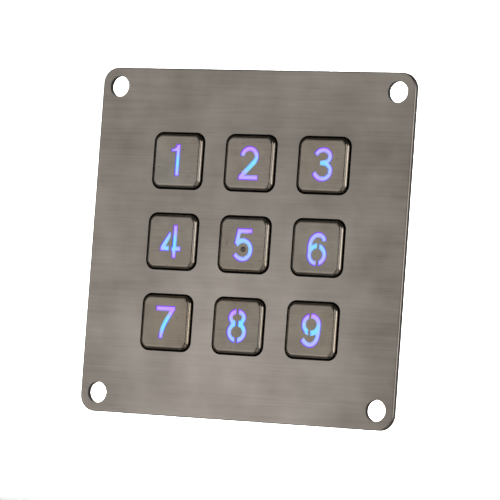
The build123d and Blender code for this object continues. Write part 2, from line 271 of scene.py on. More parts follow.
def show(mesh, name, *materials):
    """Links a mesh to the scene as a piece at the origin."""
    piece = bpy.data.objects.new(name, mesh)
    bpy.context.scene.collection.objects.link(piece)
    mesh.materials.clear()
    for material in materials:
        mesh.materials.append(material)
    return piece


def settle(piece):
    """Turns a piece's modifiers into its plain mesh."""
    graph = bpy.context.evaluated_depsgraph_get()
    finished = bpy.data.meshes.new_from_object(piece.evaluated_get(graph))
    finished.name = piece.name
    piece.modifiers.clear()
    piece.data = finished


def welded_skin(node):
    """A CAD node's triangles with their shared points joined."""
    skin = bmesh.new()
    skin.from_mesh(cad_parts[node].data)
    bmesh.ops.remove_doubles(skin, verts=skin.verts, dist=WELD_DISTANCE)
    return skin


def plain_mesh(skin, name):
    """The skin as a mesh, without the normals that the CAD export gave it."""
    mesh = bpy.data.meshes.new(name)
    skin.to_mesh(mesh)
    skin.free()
    if "custom_normal" in mesh.attributes:
        mesh.attributes.remove(mesh.attributes["custom_normal"])
    return mesh


def eased_copy(node, name, ease, *materials, segments=2):
    """A copy of a CAD node as one skin. Its sharp edges get a small bevel, or stay with no ease."""
    skin = welded_skin(node)
    if ease:
        bmesh.ops.dissolve_limit(skin, angle_limit=FLAT_ANGLE, verts=skin.verts, edges=skin.edges)
    for face in skin.faces:
        face.smooth = True
        face.material_index = 0
    for edge in skin.edges:
        edge.smooth = bool(ease) or edge.calc_face_angle(0) < CREASE_ANGLE
    piece = show(plain_mesh(skin, name), name, *materials)
    if ease:
        bevel = piece.modifiers.new("broken_edges", "BEVEL")
        bevel.width = ease
        bevel.segments = segments
        bevel.limit_method = "ANGLE"
        bevel.angle_limit = EASED_ANGLE
    piece.modifiers.new("flat_faces", "WEIGHTED_NORMAL").keep_sharp = True
    settle(piece)
    return piece


def lay_grain(mesh):
    """A flat map whose first axis runs up the plate, across the grain."""
    layer = mesh.uv_layers.new(name="grain")
    for loop in mesh.loops:
        x, _, z = mesh.vertices[loop.vertex_index].co / (100 * MM)
        layer.data[loop.index].uv = (z, x)


def dress_walls(mesh, wall_index):
    """Gives the walls through the sheet their own material."""
    for face in mesh.polygons:
        if abs(face.normal.y) < WALL_TILT:
            face.material_index = wall_index


stainless_sheet = brushed_stainless()
stainless_wall = cut_edge()
plate = eased_copy("front_plate", "brushed_face_plate", PLATE_EASE, stainless_sheet, stainless_wall)
lay_grain(plate.data)
dress_walls(plate.data, 1)
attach(plate, "root")
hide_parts("front_plate")


# Key caps
# Cast stainless caps, ground flat and satin finished, each with its digit cut right through
# the face in stencil form. The rounded edge stands a millimetre out of the plate; below it the
# cast skin is left dark, and the pip on key 5 stands out of the ground face.
KEYS = range(1, 10)
KEY_PITCH = 20 * MM
GROUND_DEPTH = -1.46 * MM
PIP_DEPTH = -2.51 * MM
PIT_SPACING = 2.1 * MM
PIT_CORE = 0.04
PIT_RIM = 0.09
CAST_FINISH = 1
DARK_PIP_FINISH = 2


def satin_stainless():
    """Satin ground stainless: finer and warmer than the sheet, with a few open casting pits."""
    material, tree, shader = new_material("satin_stainless_cap", Metallic=1.0)
    lay = grain(tree, 9 * MM, 0.16 * MM)
    cloud = blotches(tree, 6 * MM)
    warmth = blotches(tree, 31 * MM, detail=0.0)
    tone = add(tree, "ShaderNodeMix", {"Factor": 0.6, "A": lay, "B": cloud}).outputs["Result"]
    cool = two_tone(tree, tone, "#969088", "#b0aaa1", 0.35, 0.65)
    warm = two_tone(tree, tone, "#998c7d", "#b1a494", 0.35, 0.65)
    ground = add(
        tree,
        "ShaderNodeMix",
        {"Factor": spread(tree, warmth, 0.0, 1.0), "A": cool, "B": warm},
        data_type="RGBA",
    )
    place = add(tree, "ShaderNodeTexCoord").outputs["Object"]
    cells = add(tree, "ShaderNodeTexVoronoi", {"Vector": place, "Scale": 1 / PIT_SPACING})
    pits = add(
        tree,
        "ShaderNodeMapRange",
        {
            "Value": cells.outputs["Distance"],
            "From Min": PIT_RIM,
            "From Max": PIT_CORE,
            "To Max": 0.8,
        },
    )
    pitted = add(
        tree,
        "ShaderNodeMix",
        {"Factor": pits.outputs["Result"], "A": ground.outputs[2], "B": linear("#3b342d")},
        data_type="RGBA",
    )
    bump = add(tree, "ShaderNodeBump", {"Height": tone, "Strength": 0.2, "Distance": 0.01 * MM})
    wire(
        tree,
        shader,
        Base_Color=pitted.outputs[2],
        Roughness=spread(tree, tone, 0.17, 0.27),
        Normal=bump.outputs["Normal"],
    )
    return material


def cast_skin():
    """Investment-cast stainless as it came from the shell: dark scale with a sandy skin."""
    material, tree, shader = new_material("cast_skin_stainless", Metallic=0.6)
    sand = blotches(tree, 0.3 * MM)
    bump = add(tree, "ShaderNodeBump", {"Height": sand, "Strength": 0.5, "Distance": 0.03 * MM})
    wire(
        tree,
        shader,
        Base_Color=two_tone(tree, sand, "#1d1b19", "#34312d"),
        Roughness=spread(tree, sand, 0.6, 0.8),
        Normal=bump.outputs["Normal"],
    )
    return material


def dark_dimpled_pip():
    """The locating pip on key 5: finely dimpled, duller and darker than the ground face."""
    material, tree, shader = new_material("dark_dimpled_stainless_pip", Metallic=1.0)
    dimples = blotches(tree, 0.18 * MM, detail=1.0)
    bump = add(tree, "ShaderNodeBump", {"Height": dimples, "Strength": 0.8, "Distance": 0.05 * MM})
    wire(
        tree,
        shader,
        Base_Color=two_tone(tree, dimples, "#5f5853", "#8f8781"),
        Roughness=spread(tree, dimples, 0.3, 0.5),
        Normal=bump.outputs["Normal"],
    )
    return material


satin_cap = satin_stainless()
unground_cap = cast_skin()
dull_pip = dark_dimpled_pip()
for key in KEYS:
    cap = eased_copy(f"key_{key}_cap", f"satin_cap_{key}", 0, satin_cap, unground_cap, dull_pip)
    for face in cap.data.polygons:
        if face.center.y > GROUND_DEPTH:
            face.material_index = CAST_FINISH
        elif face.center.y < PIP_DEPTH:
            face.material_index = DARK_PIP_FINISH
    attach(cap, f"key_{key}")
    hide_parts(f"key_{key}_cap")


# Light guides
# Clear resin cast into each cap, which fills the cut digit. The light behind makes it glow cyan
# near the key's middle, lilac towards the stroke's ends and violet along its rim.
RIM_WIDTH = 0.42 * MM
GLOW_CENTRE = (0.2 * MM, 0.0, -0.5 * MM)
GLOW_NEAR = 1.1 * MM
GLOW_FAR = 4.1 * MM
GLOW_DRIFT = 1.1 * MM
FRONT_TOLERANCE = 0.01 * MM


def lit_resin():
    """Cast resin lit from behind: it gives off its own light, deepest violet along its rim."""
    material, tree, shader = new_material(
        "lit_resin",
        Base_Color=linear("#20202a"),
        Roughness=0.25,
        IOR=1.5,
        Emission_Strength=1.0,
    )
    place = add(tree, "ShaderNodeTexCoord").outputs["Object"]
    half = KEY_PITCH / 2
    on_key = add(
        tree,
        "ShaderNodeVectorMath",
        {0: place, 1: (half, half, half), 2: (-half, -half, -half)},
        operation="WRAP",
    )
    offset = add(
        tree,
        "ShaderNodeVectorMath",
        {0: on_key.outputs["Vector"], 1: GLOW_CENTRE},
        operation="SUBTRACT",
    )
    in_face = add(
        tree,
        "ShaderNodeVectorMath",
        {0: offset.outputs["Vector"], 1: (1.0, 0.0, 1.0)},
        operation="MULTIPLY",
    )
    distance = add(tree, "ShaderNodeVectorMath", {0: in_face.outputs["Vector"]}, operation="LENGTH")
    drift = spread(tree, blotches(tree, 5 * MM, detail=1.0), -GLOW_DRIFT, GLOW_DRIFT)
    reach = add(tree, "ShaderNodeMath", {0: distance.outputs["Value"], 1: drift}, operation="ADD")
    far = add(
        tree,
        "ShaderNodeMapRange",
        {"Value": reach.outputs["Value"], "From Min": GLOW_NEAR, "From Max": GLOW_FAR},
    )
    core = two_tone(tree, far.outputs["Result"], "#86e2ff", "#cb9efc", low=0.0, high=1.0)
    rim = add(tree, "ShaderNodeAttribute", attribute_name="rim")
    rim_colour = two_tone(tree, far.outputs["Result"], "#5b66ff", "#8048f6", low=0.0, high=1.0)
    edge = add(
        tree,
        "ShaderNodeMapRange",
        {"Value": rim.outputs["Fac"], "From Min": 0.1, "From Max": 0.6},
    )
    glow = add(
        tree,
        "ShaderNodeMix",
        {"Factor": edge.outputs["Result"], "A": core, "B": rim_colour},
        data_type="RGBA",
    )
    wire(tree, shader, Emission_Color=glow.outputs[2])
    return material


resin = lit_resin()


def light_guide(key):
    """The resin block, with a rim marked round each stroke's face."""
    skin = welded_skin(f"key_{key}_light_guide")
    bmesh.ops.dissolve_limit(skin, angle_limit=FLAT_ANGLE, verts=skin.verts, edges=skin.edges)
    rim = skin.verts.layers.float.new("rim")
    front = min(vertex.co.y for vertex in skin.verts) + FRONT_TOLERANCE
    faces = [face for face in skin.faces if face.calc_center_median().y < front]
    for vertex in skin.verts:
        vertex[rim] = 1.0
    bmesh.ops.inset_region(
        skin, faces=faces, thickness=RIM_WIDTH, use_even_offset=True, use_boundary=True
    )
    for face in faces:
        for vertex in face.verts:
            vertex[rim] = 0.0
    name = f"lit_guide_{key}"
    return show(plain_mesh(skin, name), name, resin)


for key in KEYS:
    guide = light_guide(key)
    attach(guide, f"key_{key}")
    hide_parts(f"key_{key}_light_guide")


# Silicone domes
# Nine domes moulded in translucent grey silicone: a flat foot held in the keymat sheet, a thin
# sloping web that folds as the key goes down, and a hollow boss that carries the key.
DOME_AROUND = 56


def skin_rows(name, rows, *materials):
    """A closed skin over rows of points, one row after another, shaded smooth."""
    skin = bmesh.new()
    grid = [[skin.verts.new(point) for point in row] for row in rows]
    for near, far in zip(grid, grid[1:]):
        for i in range(len(near) - 1):
            skin.faces.new((near[i], near[i + 1], far[i + 1], far[i]))
    bmesh.ops.remove_doubles(skin, verts=skin.verts, dist=0.002 * MM)
    bmesh.ops.dissolve_degenerate(skin, edges=skin.edges, dist=0.002 * MM)
    bmesh.ops.recalc_face_normals(skin, faces=skin.faces)
    for face in skin.faces:
        face.smooth = True
    for edge in skin.edges:
        edge.smooth = len(edge.link_faces) != 2 or edge.calc_face_angle() < math.radians(32)
    mesh = bpy.data.meshes.new(name)
    skin.to_mesh(mesh)
    skin.free()
    return show(mesh, name, *materials)


def turned_rows(profile, around):
    """Rows for a profile of (radius, depth) pairs in millimetres turned about the Y axis."""
    angles = [math.tau * i / around for i in range(around + 1)]
    return [
        [Vector((radius * math.cos(a), depth, radius * math.sin(a))) * MM for a in angles]
        for radius, depth in profile
    ]


def translucent_silicone():
    """Moulded silicone rubber: milky grey, soft-edged, with light passing a little way in."""
    material, tree, shader = new_material(
        "translucent_silicone",
        Roughness=0.48,
        IOR=1.41,
        Subsurface_Weight=0.35,
        Subsurface_Scale=1.2 * MM,
        Subsurface_Radius=(1.0, 1.0, 1.0),
    )
    cloud = blotches(tree, 3 * MM)
    bloom = blotches(tree, 0.25 * MM)
    bump = add(tree, "ShaderNodeBump", {"Height": bloom, "Strength": 0.25, "Distance": 0.02 * MM})
    wire(
        tree,
        shader,
        Base_Color=two_tone(tree, cloud, "#8f9294", "#a6a8a8"),
        Normal=bump.outputs["Normal"],
    )
    return material


silicone = translucent_silicone()
dome_profile = (
    # (radius, depth) in millimetres: up the outside of the foot and the web
    (6.4, 4.2), (6.4, 3.36), (6.24, 3.2), (5.95, 3.17), (5.7, 3.05), (5.4, 2.78), (5.1, 2.5),
    (4.85, 2.28), (4.6, 2.12), (4.35, 2.02),
    # the boss, outside and down its bore
    (4.2, 1.86), (4.2, 1.25), (4.14, 1.11), (4.0, 1.05), (2.4, 1.05), (2.25, 1.1), (2.2, 1.22),
    (2.2, 2.88), (2.3, 2.98), (4.0, 2.98),
    # back along the underside of the web
    (4.3, 2.94), (4.6, 2.86), (4.85, 2.9), (5.1, 3.06), (5.4, 3.34), (5.65, 3.6), (5.8, 3.72),
    (5.84, 4.2), (6.4, 4.2),
)
for key in KEYS:
    low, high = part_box(f"key_{key}_dome")
    x, z = (low.x + high.x) / 2, (low.z + high.z) / 2
    dome = skin_rows(f"silicone_dome_{key}", turned_rows(dome_profile, DOME_AROUND), silicone)
    dome.data.transform(Matrix.Translation((x, 0, z)))
    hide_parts(f"key_{key}_dome")
    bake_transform(dome)


# Carbon pills
# A ring of carbon-filled rubber moulded under each boss. It goes down with the key and bridges
# the two half rings of the pad below it.
def carbon_rubber():
    """Carbon-filled silicone: dense matt black with a faint speckle."""
    material, tree, shader = new_material("carbon_filled_rubber", Roughness=0.8)
    speckle = blotches(tree, 0.12 * MM, detail=1.0)
    wire(tree, shader, Base_Color=two_tone(tree, speckle, "#101010", "#262626"))
    return material


carbon = carbon_rubber()
pill_profile = (
    (3.5, 3.3), (3.5, 3.06), (3.42, 2.98), (2.48, 2.98), (2.4, 3.06), (2.4, 3.3), (2.48, 3.38),
    (3.42, 3.38), (3.5, 3.3),
)
for key in KEYS:
    low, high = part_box(f"key_{key}_pill")
    pill = skin_rows(f"carbon_pill_{key}", turned_rows(pill_profile, DOME_AROUND), carbon)
    pill.data.transform(Matrix.Translation(((low.x + high.x) / 2, 0, (low.z + high.z) / 2)))
    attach(pill, f"key_{key}")
    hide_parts(f"key_{key}_pill")


# Weld studs
# Eight M3 studs, copper flashed and resistance welded to the back of the plate. Each has a
# rolled thread of 0.5 mm pitch above its flared foot, and a chamfered end.
THREAD_RADIUS = 1.5
THREAD_DEPTH = 0.3
THREAD_PITCH = 0.5
THREAD_START = 0.9
THREAD_END = 11.2
THREAD_CHAMFER = 0.3
THREAD_AROUND = 24
# Part of a pitch, and whether the thread is at its root there
THREAD_PHASES = ((0, 0), (1 / 8, 0), (7 / 16, 1), (11 / 16, 1))
STUD_FOOT = ((0.0, 0.0), (2.1, 0.0), (2.1, 0.5), (2.0, 0.6), (1.35, 0.72), (1.2, THREAD_START))
OUTER_SPACING = 60 * MM
INNER_SPACING = 20 * MM
SPREAD_SIZES = (
    "Outer width", "Outer height", "Inner width", "Inner height", "Height offset", "Most turn",
)


def thread_rows():
    """Rows of a foot and a thread that climbs one pitch per turn and is cut square at its ends."""
    rows = []
    for turn in range(-1, round((THREAD_END - THREAD_START) / THREAD_PITCH) + 1):
        for phase, at_root in THREAD_PHASES:
            row = []
            for i in range(THREAD_AROUND + 1):
                angle = math.tau * i / THREAD_AROUND
                y = THREAD_START + THREAD_PITCH * (turn + phase + i / THREAD_AROUND)
                y = min(max(y, THREAD_START), THREAD_END)
                end_limit = THREAD_RADIUS - max(0.0, THREAD_CHAMFER - (THREAD_END - y))
                start_limit = THREAD_RADIUS - max(0.0, THREAD_DEPTH - (y - THREAD_START))
                r = min(THREAD_RADIUS - at_root * THREAD_DEPTH, end_limit, start_limit)
                row.append(Vector((r * math.cos(angle), y, r * math.sin(angle))) * MM)
            rows.append(row)
    tip = ((0.0, THREAD_END),)
    return turned_rows(STUD_FOOT, THREAD_AROUND) + rows + turned_rows(tip, THREAD_AROUND)


def spread_tree(name, material):
    """Geometry nodes that set a copy of the mesh at each corner of two oblongs about the middle."""
    tree = bpy.data.node_groups.new(name, "GeometryNodeTree")
    tree.interface.new_socket("Piece", in_out="INPUT", socket_type="NodeSocketGeometry")
    for size in SPREAD_SIZES:
        tree.interface.new_socket(size, in_out="INPUT", socket_type="NodeSocketFloat")
    tree.interface.new_socket("Seed", in_out="INPUT", socket_type="NodeSocketInt")
    tree.interface.new_socket("Pieces", in_out="OUTPUT", socket_type="NodeSocketGeometry")
    given = add(tree, "NodeGroupInput").outputs
    corners = add(tree, "GeometryNodeJoinGeometry")
    for oblong in ("Outer", "Inner"):
        size = {"Size X": given[f"{oblong} width"], "Size Y": given[f"{oblong} height"]}
        grid = add(tree, "GeometryNodeMeshGrid", {**size, "Vertices X": 2, "Vertices Y": 2})
        tree.links.new(grid.outputs["Mesh"], corners.inputs[0])
    offset = add(tree, "ShaderNodeCombineXYZ", {"Z": given["Height offset"]})
    upright = add(
        tree,
        "GeometryNodeTransform",
        {
            "Geometry": corners.outputs[0],
            "Rotation": (math.radians(90), 0, 0),
            "Translation": offset.outputs["Vector"],
        },
    )
    single = add(
        tree,
        "GeometryNodeMergeByDistance",
        {"Geometry": upright.outputs[0], "Distance": 0.1 * MM},
    )
    low = add(tree, "ShaderNodeMath", {0: given["Most turn"], 1: -1.0}, operation="MULTIPLY")
    turn = add(
        tree,
        "FunctionNodeRandomValue",
        {2: low.outputs[0], 3: given["Most turn"], "Seed": given["Seed"]},
        data_type="FLOAT",
    )
    rotation = add(tree, "ShaderNodeCombineXYZ", {"Y": turn.outputs[1]})
    copies = add(
        tree,
        "GeometryNodeInstanceOnPoints",
        {
            "Points": single.outputs[0],
            "Instance": given["Piece"],
            "Rotation": rotation.outputs["Vector"],
        },
    )
    solid = add(tree, "GeometryNodeRealizeInstances", {"Geometry": copies.outputs[0]})
    finish = add(
        tree, "GeometryNodeSetMaterial", {"Geometry": solid.outputs[0], "Material": material}
    )
    add(tree, "NodeGroupOutput", {0: finish.outputs[0]})
    return tree


def spread_copies(piece, material, sizes):
    """Runs the nodes on a piece with the sizes given by input name, and keeps the plain mesh."""
    tree = spread_tree(f"{piece.name}_places", material)
    nodes = piece.modifiers.new("places", "NODES")
    nodes.node_group = tree
    for socket in tree.interface.items_tree:
        if socket.name in sizes:
            nodes[socket.identifier] = sizes[socket.name]
    settle(piece)
    piece.data.materials.clear()
    piece.data.materials.append(material)
    for face in piece.data.polygons:
        face.material_index = 0


def plated_steel(name, dark, light, roughness):
    """Electroplated steel: bright and faintly clouded."""
    material, tree, shader = new_material(name, Metallic=1.0)
    cloud = blotches(tree, 1.4 * MM)
    bump = add(tree, "ShaderNodeBump", {"Height": cloud, "Strength": 0.3, "Distance": 0.01 * MM})
    wire(
        tree,
        shader,
        Base_Color=two_tone(tree, cloud, dark, light),
        Roughness=spread(tree, cloud, roughness - 0.06, roughness + 0.08),
        Normal=bump.outputs["Normal"],
    )
    return material


FASTENER_PLACES = {
    "Outer width": OUTER_SPACING,
    "Outer height": OUTER_SPACING,
    "Inner width": INNER_SPACING,
    "Inner height": INNER_SPACING,
}
copper_flash = plated_steel("copper_flashed_steel", "#a87a5a", "#c79672", 0.34)
studs = skin_rows("threaded_weld_studs", thread_rows(), copper_flash)
spread_copies(studs, copper_flash, {**FASTENER_PLACES, "Most turn": math.pi, "Seed": 3})
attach(studs, "root")
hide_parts("weld_studs")


# Washers
# Punched M3 washers in zinc-plated steel, one under each nut. One rim is rolled over by the
# punch and the other is left crisp.
bright_zinc = plated_steel("bright_zinc_plate", "#a3a7a9", "#c6cacb", 0.28)
washer_profile = (
    (1.7, 7.64), (1.7, 7.24), (1.74, 7.2), (3.17, 7.2), (3.2, 7.23), (3.2, 7.56), (3.15, 7.66),
    (3.06, 7.7), (1.78, 7.7), (1.7, 7.64),
)
washers = skin_rows("punched_washers", turned_rows(washer_profile, 48), bright_zinc)
spread_copies(washers, bright_zinc, {**FASTENER_PLACES, "Most turn": math.pi, "Seed": 5})
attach(washers, "root")
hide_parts("stud_washers")


# Nuts
# M3 hexagon nuts, zinc plated, which hold the stack on the studs. Both faces are chamfered at
# 30 degrees and the bore is countersunk.
NUT_ACROSS_FLATS = 5.5
NUT_FRONT = 7.7
NUT_REAR = 10.1
NUT_BORE = 1.5
NUT_MOUTH = 1.78
NUT_COUNTERSINK = 0.28
NUT_FACE = NUT_ACROSS_FLATS / 2 * 0.95
NUT_CHAMFER = 0.04
NUT_AROUND = 60


def nut_rows():
    """Round bore and face rings joined to six flats, whose corners the chamfer rounds off."""

    def outside(angle):
        return NUT_ACROSS_FLATS / 2 / math.cos(angle % math.radians(60) - math.radians(30))

    def drop(angle):
        return NUT_CHAMFER + (outside(angle) - NUT_FACE) * math.tan(math.radians(30))

    def flats(depth, inward):
        angles = [math.tau * i / NUT_AROUND for i in range(NUT_AROUND + 1)]
        corners = [(a, outside(a), depth + inward * drop(a)) for a in angles]
        return [Vector((r * math.cos(a), y, r * math.sin(a))) * MM for a, r, y in corners]

    front = ((NUT_BORE, NUT_FRONT + NUT_COUNTERSINK), (NUT_MOUTH, NUT_FRONT), (NUT_FACE, NUT_FRONT))
    rear = ((NUT_FACE, NUT_REAR), (NUT_MOUTH, NUT_REAR), (NUT_BORE, NUT_REAR - NUT_COUNTERSINK))
    return (
        turned_rows(front, NUT_AROUND)
        + [flats(NUT_FRONT, 1), flats(NUT_REAR, -1)]
        + turned_rows(rear + front[:1], NUT_AROUND)
    )


nuts = skin_rows("hexagon_nuts", nut_rows(), bright_zinc)
spread_copies(nuts, bright_zinc, {**FASTENER_PLACES, "Most turn": math.pi, "Seed": 8})
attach(nuts, "root")
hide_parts("stud_nuts")


# Sealing gasket
# A square ring of closed-cell foam, 1 mm thick and die cut, stuck behind the plate round the
# keys. Its corners are soft and its skin shows fine pores.
GASKET_EASE = 0.22 * MM
PORE_SPACING = 0.26 * MM


def cell_foam():
    """Closed-cell rubber foam: matt charcoal, all over pores, each darker towards its middle with
    painted shade.
    """
    material, tree, shader = new_material("closed_cell_epdm_foam", Roughness=0.92)
    place = add(tree, "ShaderNodeTexCoord").outputs["Object"]
    cells = add(tree, "ShaderNodeTexVoronoi", {"Vector": place, "Scale": 1 / PORE_SPACING})
    pores = add(tree, "ShaderNodeMapRange", {"Value": cells.outputs["Distance"], "From Max": 0.6})
    bump = add(
        tree,
        "ShaderNodeBump",
        {"Height": pores.outputs["Result"], "Strength": 0.6, "Distance": 0.05 * MM},
    )
    # Painted shade: the colour darkens towards the middle of each pore.
    wire(
        tree,
        shader,
        Base_Color=two_tone(tree, pores.outputs["Result"], "#161616", "#32312f", low=0.0, high=1.0),
        Normal=bump.outputs["Normal"],
    )
    return material


gasket = eased_copy("sealing_gasket", "foam_gasket", GASKET_EASE, cell_foam(), segments=3)
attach(gasket, "root")
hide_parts("sealing_gasket")


# Key guide frame
# One moulding in black glass-filled nylon behind the plate, with a pocket for each key and
# clearance for the studs, which it slides over.
GUIDE_EASE = 0.15 * MM


def moulded_nylon(name, dark, light, texture):
    """Injection-moulded plastic with a spark-eroded skin, its peaks the given distance apart."""
    material, tree, shader = new_material(name, IOR=1.53)
    peaks = blotches(tree, texture, detail=1.0)
    flow = blotches(tree, 9 * MM)
    bump = add(tree, "ShaderNodeBump", {"Height": peaks, "Strength": 0.45, "Distance": 0.03 * MM})
    wire(
        tree,
        shader,
        Base_Color=two_tone(tree, flow, dark, light),
        Roughness=spread(tree, peaks, 0.42, 0.6),
        Normal=bump.outputs["Normal"],
    )
    return material


black_nylon = moulded_nylon("black_glass_nylon", "#141414", "#1f1f1f", 0.3 * MM)
guide_frame = eased_copy("key_guide_frame", "moulded_key_guide", GUIDE_EASE, black_nylon)
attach(guide_frame, "root")
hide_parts("key_guide_frame")


# Keymat sheet
# The silicone sheet that the domes stand in, moulded 1 mm thick with its edges rounded by the
# tool. It lies between the guide frame and the board.
SHEET_EASE = 0.2 * MM
keymat = eased_copy("keymat_sheet", "silicone_keymat", SHEET_EASE, silicone, segments=3)
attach(keymat, "root")
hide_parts("keymat_sheet")


# Circuit board
# Glass-epoxy board, 1.6 mm, green solder mask over both faces and a routed straw-coloured edge.
# Where the back plate is notched, masked tracks and tented vias show beside the header.
BOARD_EASE = 0.06 * MM
PLY_WAVE = 0.64 * MM
TRACK_WIDTH = 0.4
TRACK_HEIGHT = 0.035
MASK_FACE = 5.8
NOTCH_TOP = -24.0
NOTCH_BOTTOM = -33.4
# (x, z) points in millimetres, on the right of the header; the left has their mirror image
RESISTOR_TRACKS = (
    ((13.6, -27.2), (13.6, -25.6), (12.7, -24.7), (12.7, NOTCH_TOP)),
    ((16.0, -27.2), (16.0, -25.9), (15.0, -24.9), (15.0, NOTCH_TOP)),
    ((13.6, -29.6), (13.6, -30.8), (12.3, -32.1), (12.3, NOTCH_BOTTOM)),
    ((16.0, -29.6), (16.0, -31.2), (15.1, -32.1), (15.1, NOTCH_BOTTOM)),
)
HEADER_TRACKS = tuple(
    ((x, -25.6), (x, -25.0), (x + 0.5, NOTCH_TOP - 0.5), (x + 0.5, NOTCH_TOP))
    for x in (3.75, 6.25, 8.75)
)
VIA_PLACES = (
    (-17.2, -25.2), (17.2, -25.2), (-12.1, -30.7), (12.1, -30.7), (-17.2, -31.6), (17.2, -31.6),
    (0.0, -24.8), (1.6, -32.4), (-4.4, -32.5), (7.4, -32.4),
)
VIA_AROUND = 20


def solder_mask(name, dark, light):
    """Green liquid solder mask: glossy, slightly wavy over the copper beneath."""
    material, tree, shader = new_material(name, IOR=1.5, Coat_Weight=0.3, Coat_Roughness=0.12)
    weave = blotches(tree, 1.1 * MM)
    bump = add(tree, "ShaderNodeBump", {"Height": weave, "Strength": 0.2, "Distance": 0.015 * MM})
    wire(
        tree,
        shader,
        Base_Color=two_tone(tree, weave, dark, light),
        Roughness=spread(tree, weave, 0.24, 0.36),
        Normal=bump.outputs["Normal"],
    )
    return material


def routed_laminate():
    """The cut edge of glass-epoxy laminate: straw yellow with layers 0.2 mm apart."""
    material, tree, shader = new_material("routed_glass_epoxy", Roughness=0.7)
    place = add(tree, "ShaderNodeTexCoord").outputs["Object"]
    plies = add(
        tree,
        "ShaderNodeTexWave",
        {"Vector": place, "Scale": 1 / PLY_WAVE, "Distortion": 1.2, "Detail": 2.0},
        bands_direction="Y",
    )
    straw = two_tone(tree, plies.outputs["Fac"], "#8f8a52", "#b9b07a", 0.2, 0.8)
    wire(tree, shader, Base_Color=straw)
    return material


green_mask = solder_mask("green_solder_mask", "#0f4a2c", "#14583a")
raised_mask = solder_mask("green_mask_over_copper", "#1c6b42", "#24784c")
board = eased_copy("circuit_board", "masked_board", BOARD_EASE, green_mask, routed_laminate())
dress_walls(board.data, 1)
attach(board, "root")
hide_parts("circuit_board")


def track_rows(points):
    """Rows of a flat-topped track along a line of (x, z) points in millimetres."""
    rows = []
    for i, point in enumerate(points):
        before = Vector(points[max(i - 1, 0)])
        after = Vector(points[min(i + 1, len(points) - 1)])
        across = (after - before).orthogonal().normalized() * TRACK_WIDTH / 2
        left, right = Vector(point) + across, Vector(point) - across
        inner_left, inner_right = Vector(point) + across * 0.75, Vector(point) - across * 0.75
        top = MASK_FACE + TRACK_HEIGHT
        section = (
            (left, MASK_FACE),
            (inner_left, top),
            (inner_right, top),
            (right, MASK_FACE),
            (left, MASK_FACE),
        )
        rows.append([Vector((p.x, y, p.y)) * MM for p, y in section])
    return rows


def take_in(skin, piece):
    """Adds a piece's mesh to a skin that gathers several, and removes the piece."""
    skin.from_mesh(piece.data)
    bpy.data.objects.remove(piece)


copper = bmesh.new()
for side in (-1, 1):
    for track in RESISTOR_TRACKS + HEADER_TRACKS:
        points = [(side * x, z) for x, z in track]
        take_in(copper, skin_rows("track", track_rows(points), raised_mask))
via_profile = (
    (0.0, 5.79), (0.45, 5.79), (0.45, 5.82), (0.38, 5.835), (0.2, 5.835), (0.14, 5.8), (0.0, 5.8)
)
for x, z in VIA_PLACES:
    via = skin_rows("via", turned_rows(via_profile, VIA_AROUND), raised_mask)
    via.data.transform(Matrix.Translation((x * MM, 0, z * MM)))
    take_in(copper, via)
track_mesh = bpy.data.meshes.new("masked_tracks")
copper.to_mesh(track_mesh)
copper.free()
masked_tracks = show(track_mesh, "masked_tracks", raised_mask)
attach(masked_tracks, "root")


# Contact pads
# Two half rings of gold-flashed copper under each carbon pill, etched on the board's front and
# kept as the frame has them.
def dress(node, material):
    """Gives a frame part that stays its finished material."""
    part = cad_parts[node]
    for place in part.material_slots:
        place.material = material


def gold_flash():
    """Thin gold over nickel: pale, satin, slightly uneven."""
    material, tree, shader = new_material("gold_flashed_copper", Metallic=1.0)
    cloud = blotches(tree, 0.9 * MM)
    wire(
        tree,
        shader,
        Base_Color=two_tone(tree, cloud, "#c9a24f", "#e3c278"),
        Roughness=spread(tree, cloud, 0.24, 0.38),
    )
    return material


dress("contact_pads", gold_flash())


# Key lights
# One light-emitting diode behind the centre of each key, soldered to the board's front. Its
# white reflector moulding is kept as the frame has it.
dress("key_leds", moulded_nylon("white_reflector_resin", "#dcdcd8", "#ecebe6", 0.15 * MM))


# Resistors
# Four chip resistors that set the key lights' current: black glazed top, white alumina sides,
# tinned ends and a solder fillet at each end.
RESISTOR_EASE = 0.03
RESISTOR_PLACES = {
    "Outer width": 32.0 * MM,
    "Inner width": 27.2 * MM,
    "Height offset": -28.4 * MM,
}


def tinned(name, dark, light):
    """Reflowed solder and tin plate: bright grey, softly rippled."""
    material, tree, shader = new_material(name, Metallic=1.0)
    ripple = blotches(tree, 0.5 * MM)
    bump = add(tree, "ShaderNodeBump", {"Height": ripple, "Strength": 0.2, "Distance": 0.03 * MM})
    wire(
        tree,
        shader,
        Base_Color=two_tone(tree, ripple, dark, light),
        Roughness=spread(tree, ripple, 0.2, 0.34),
        Normal=bump.outputs["Normal"],
    )
    return material


def blocks(name, parts, ease, material):
    """One mesh of eased blocks, each given as its low and high corner and its shrink at the top."""
    skin = bmesh.new()
    for low, high, shrink_x, shrink_z in parts:
        low, high = Vector(low), Vector(high)
        made = bmesh.ops.create_cube(skin, size=1.0)["verts"]
        for vertex in made:
            size = high - low
            if vertex.co.y > 0:
                size -= Vector((shrink_x, 0, shrink_z))
            offset = Vector((a * b for a, b in zip(vertex.co, size)))
            vertex.co = ((low + high) / 2 + offset) * MM
    bmesh.ops.bevel(
        skin, geom=skin.edges[:], offset=ease * MM, segments=2, affect="EDGES", profile=0.5
    )
    for face in skin.faces:
        face.smooth = True
    mesh = bpy.data.meshes.new(name)
    skin.to_mesh(mesh)
    skin.free()
    piece = show(mesh, name, material)
    piece.modifiers.new("flat_faces", "WEIGHTED_NORMAL")
    settle(piece)
    return piece


